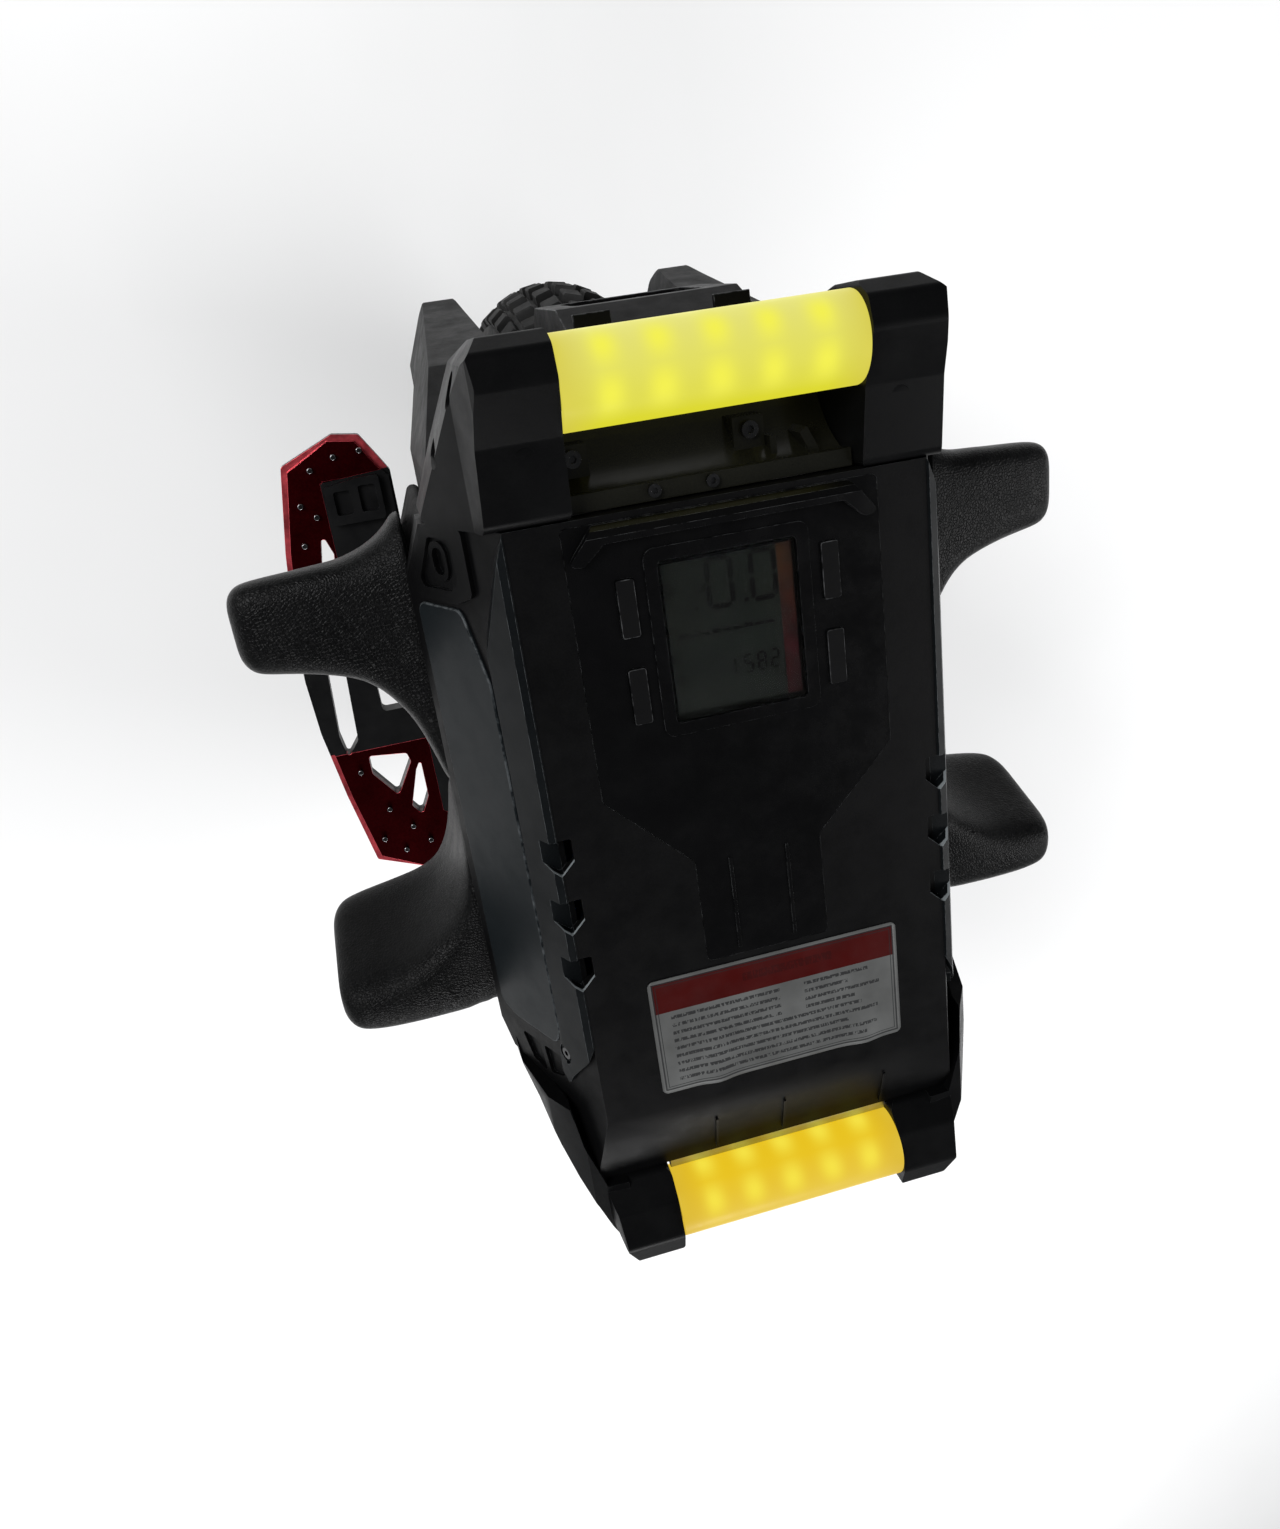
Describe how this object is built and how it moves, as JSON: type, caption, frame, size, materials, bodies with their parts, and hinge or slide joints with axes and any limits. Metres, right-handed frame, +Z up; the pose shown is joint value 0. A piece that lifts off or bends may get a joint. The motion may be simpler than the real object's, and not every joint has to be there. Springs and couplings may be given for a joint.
{
  "type": "electric unicycle",
  "caption": "Self-balancing electric wheel with sprung fork, folding pedals, side leg pads, display panel and two lit carry handles.",
  "frame": {"origin": "on the ground under the middle of the body, the bottom centre of its box", "axes": "+Z up, +Y forward, the way it rides, +X to the rider's right"},
  "size_m": [0.472, 0.5439, 0.6755],
  "materials": {
    "tyre_rubber": "matt moulded rubber with block tread",
    "black_alloy": "satin black powder coat on aluminium",
    "steel": "brushed",
    "chromed": "polished hard chrome",
    "alloy": "machined",
    "spring_steel": "dark phosphate",
    "black_shell": "satin moulded, fine texture",
    "case_plastic": "satin moulded, coarse texture",
    "rail_grey": "satin, dark grey",
    "slate_cover": "semi-gloss slate grey",
    "panel_black": "semi-gloss black",
    "clear_window": "clear",
    "lcd": "grey-green display glass",
    "label_film": "printed film",
    "key_rubber": "matt silicone",
    "pack_wrap": "heat-shrink film",
    "front_light": "translucent diffuser, lit",
    "rear_light": "translucent diffuser, lit",
    "circuit": "white solder mask",
    "guard_black": "gloss black",
    "brake_red": "red lens",
    "pad_foam": "moulded foam skin with leather grain",
    "pad_plate": "closed-cell foam",
    "red_anodised": "red anodised, bevelled edge bright"
  },
  "bodies": {
    "chassis": {"stanchions": "chromed", "fork_springs": "spring_steel", "right_case": "case_plastic", "left_case": "case_plastic", "battery_packs": "pack_wrap", "controller": "alloy", "top_shell": "black_shell", "right_side_rail": "rail_grey", "left_side_rail": "rail_grey", "right_side_cover": "slate_cover", "left_side_cover": "slate_cover", "front_right_bracket": "black_alloy", "front_left_bracket": "black_alloy", "rear_right_bracket": "black_alloy", "rear_left_bracket": "black_alloy", "display_panel": "panel_black", "display_lens": "clear_window", "lcd_module": "lcd", "label_plate": "label_film", "mudguard": "case_plastic", "rear_cover": "case_plastic", "rear_trim": "alloy", "front_handle_tube": "front_light", "rear_handle_tube": "rear_light", "handle_cores": "alloy", "led_strips": "circuit", "front_guard": "guard_black", "headlight": "black_shell", "headlight_lens": "clear_window", "tail_light": "brake_red", "right_pad_base": "pad_plate", "left_pad_base": "pad_plate", "front_right_pad": "pad_foam", "front_left_pad": "pad_foam", "rear_right_pad": "pad_foam", "rear_left_pad": "pad_foam", "right_pedal_hanger": "black_alloy", "left_pedal_hanger": "black_alloy", "pedal_pins": "steel", "cover_screws": "steel"},
    "axle_carriage": {"axle": "steel", "stator": "steel", "right_slider": "alloy", "left_slider": "alloy"},
    "wheel": {"tyre": "tyre_rubber", "rim": "black_alloy", "right_motor_cover": "black_alloy", "left_motor_cover": "black_alloy", "motor_screws": "steel", "wheel_bearings": "steel"},
    "right_pedal_body": {"right_pedal": "black_alloy", "right_pedal_ends": "red_anodised", "right_pedal_studs": "chromed"},
    "left_pedal_body": {"left_pedal": "black_alloy", "left_pedal_ends": "red_anodised", "left_pedal_studs": "chromed"},
    "front_right_key_body": {"front_right_key": "key_rubber"},
    "front_left_key_body": {"front_left_key": "key_rubber"},
    "rear_right_key_body": {"rear_right_key": "key_rubber"},
    "rear_left_key_body": {"rear_left_key": "key_rubber"}
  },
  "joints": [
    {"name": "suspension_travel", "type": "slide", "parent": "chassis", "child": "axle_carriage", "axis": [0, 0, 1], "range_m": [0, 0.08], "stiffness_N_per_m": 9000, "springref_m": -0.035, "deforming": ["fork_springs"]},
    {"name": "wheel_spin", "type": "hinge", "parent": "axle_carriage", "child": "wheel", "pos_m": [0, 0.018, 0.254], "axis": [1, 0, 0], "continuous": true},
    {"name": "right_pedal_fold", "type": "hinge", "parent": "chassis", "child": "right_pedal_body", "pos_m": [0.126, 0, 0.213], "axis": [0, -1, 0], "range_deg": [0, 80]},
    {"name": "left_pedal_fold", "type": "hinge", "parent": "chassis", "child": "left_pedal_body", "pos_m": [-0.126, 0, 0.213], "axis": [0, 1, 0], "range_deg": [0, 80]},
    {"name": "front_right_key_press", "type": "slide", "parent": "chassis", "child": "front_right_key_body", "axis": [0, 0, -1], "range_m": [0, 0.0012], "stiffness_N_per_m": 700, "springref_m": -0.0005},
    {"name": "front_left_key_press", "type": "slide", "parent": "chassis", "child": "front_left_key_body", "axis": [0, 0, -1], "range_m": [0, 0.0012], "stiffness_N_per_m": 700, "springref_m": -0.0005},
    {"name": "rear_right_key_press", "type": "slide", "parent": "chassis", "child": "rear_right_key_body", "axis": [0, 0, -1], "range_m": [0, 0.0012], "stiffness_N_per_m": 700, "springref_m": -0.0005},
    {"name": "rear_left_key_press", "type": "slide", "parent": "chassis", "child": "rear_left_key_body", "axis": [0, 0, -1], "range_m": [0, 0.0012], "stiffness_N_per_m": 700, "springref_m": -0.0005}
  ]
}
